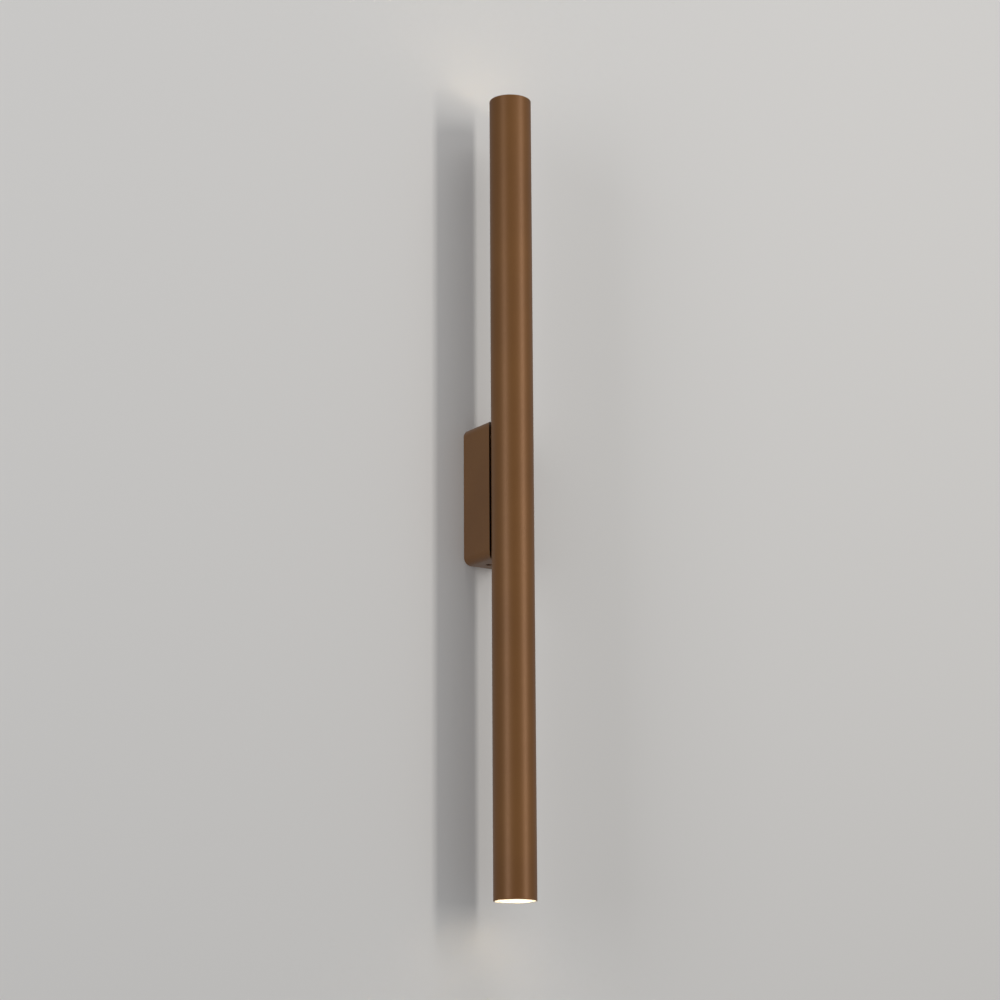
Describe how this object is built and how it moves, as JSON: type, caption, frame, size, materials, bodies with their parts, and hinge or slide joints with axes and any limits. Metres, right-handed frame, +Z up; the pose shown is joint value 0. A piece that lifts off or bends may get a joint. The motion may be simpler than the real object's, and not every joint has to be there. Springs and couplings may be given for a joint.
{
  "type": "tube wall light",
  "caption": "Long slim tube wall light that shines up and down, held off the wall by a small rounded housing over a folded bracket.",
  "frame": {"origin": "middle of the wall bracket's back face, on the wall plane, level with the tube's middle", "axes": "+Z up along the tube, -Y straight out of the wall, +X to the right as seen from the front"},
  "size_m": [0.052, 0.0979, 1],
  "materials": {
    "bronze_coat": "satin fine-texture powder coat, bronze",
    "black_rubber": "matt",
    "zinc_steel": "zinc plated",
    "black_steel": "blackened",
    "white_nylon": "moulded",
    "plain_brass": "turned",
    "tinned_copper": "tinned",
    "white_ceramic": "unglazed steatite",
    "lamp_plastic": "moulded",
    "bare_nickel": "bare wire",
    "board_white": "solder resist",
    "lit_phosphor": "cast phosphor",
    "lamp_cover": "clear moulded cap",
    "brown_sleeve": "silicone sleeve",
    "blue_sleeve": "silicone sleeve",
    "earth_sleeve": "silicone sleeve, green and yellow"
  },
  "bodies": {
    "bracket": {"wall_bracket": "zinc_steel", "cable_bush": "black_rubber", "earth_stud": "zinc_steel", "earth_washer": "zinc_steel", "earth_nut": "plain_brass"},
    "fixture": {"tube": "bronze_coat", "housing": "bronze_coat", "cradle_plate": "bronze_coat", "upper_spacer": "black_rubber", "lower_spacer": "black_rubber", "fixing_screws": "zinc_steel", "fixing_washers": "zinc_steel", "wire_bush": "black_rubber", "carrier_rail": "zinc_steel", "rail_nuts": "zinc_steel", "wire_clips": "white_nylon", "terminal_block": "white_nylon", "clamp_sleeves": "plain_brass", "clamp_screws": "zinc_steel", "block_screws": "zinc_steel", "earth_lug": "tinned_copper", "upper_live_lead": "brown_sleeve", "upper_neutral_lead": "blue_sleeve", "lower_live_lead": "brown_sleeve", "lower_neutral_lead": "blue_sleeve", "earth_lead": "earth_sleeve", "upper_end_plate": "zinc_steel", "upper_lampholder": "white_ceramic", "upper_contacts": "plain_brass", "upper_holder_screws": "zinc_steel", "lower_end_plate": "zinc_steel", "lower_lampholder": "white_ceramic", "lower_contacts": "plain_brass", "lower_holder_screws": "zinc_steel"},
    "set_screw": {"set_screw": "black_steel"},
    "upper_lamp": {"upper_lamp_base": "lamp_plastic", "upper_lamp_pins": "bare_nickel", "upper_lamp_board": "board_white", "upper_lamp_chips": "lit_phosphor", "upper_lamp_cover": "lamp_cover"},
    "lower_lamp": {"lower_lamp_base": "lamp_plastic", "lower_lamp_pins": "bare_nickel", "lower_lamp_board": "board_white", "lower_lamp_chips": "lit_phosphor", "lower_lamp_cover": "lamp_cover"}
  },
  "joints": [
    {"name": "lamp_release", "type": "slide", "parent": "bracket", "child": "fixture", "axis": [0, -1, 0], "range_m": [0, 0.045]},
    {"name": "set_screw_travel", "type": "slide", "parent": "fixture", "child": "set_screw", "axis": [0, 0, -1], "range_m": [0, 0.0025]},
    {"name": "upper_lamp_pull", "type": "slide", "parent": "fixture", "child": "upper_lamp", "axis": [0, 0, 1], "range_m": [0, 0.06]},
    {"name": "lower_lamp_pull", "type": "slide", "parent": "fixture", "child": "lower_lamp", "axis": [0, 0, -1], "range_m": [0, 0.06]}
  ]
}
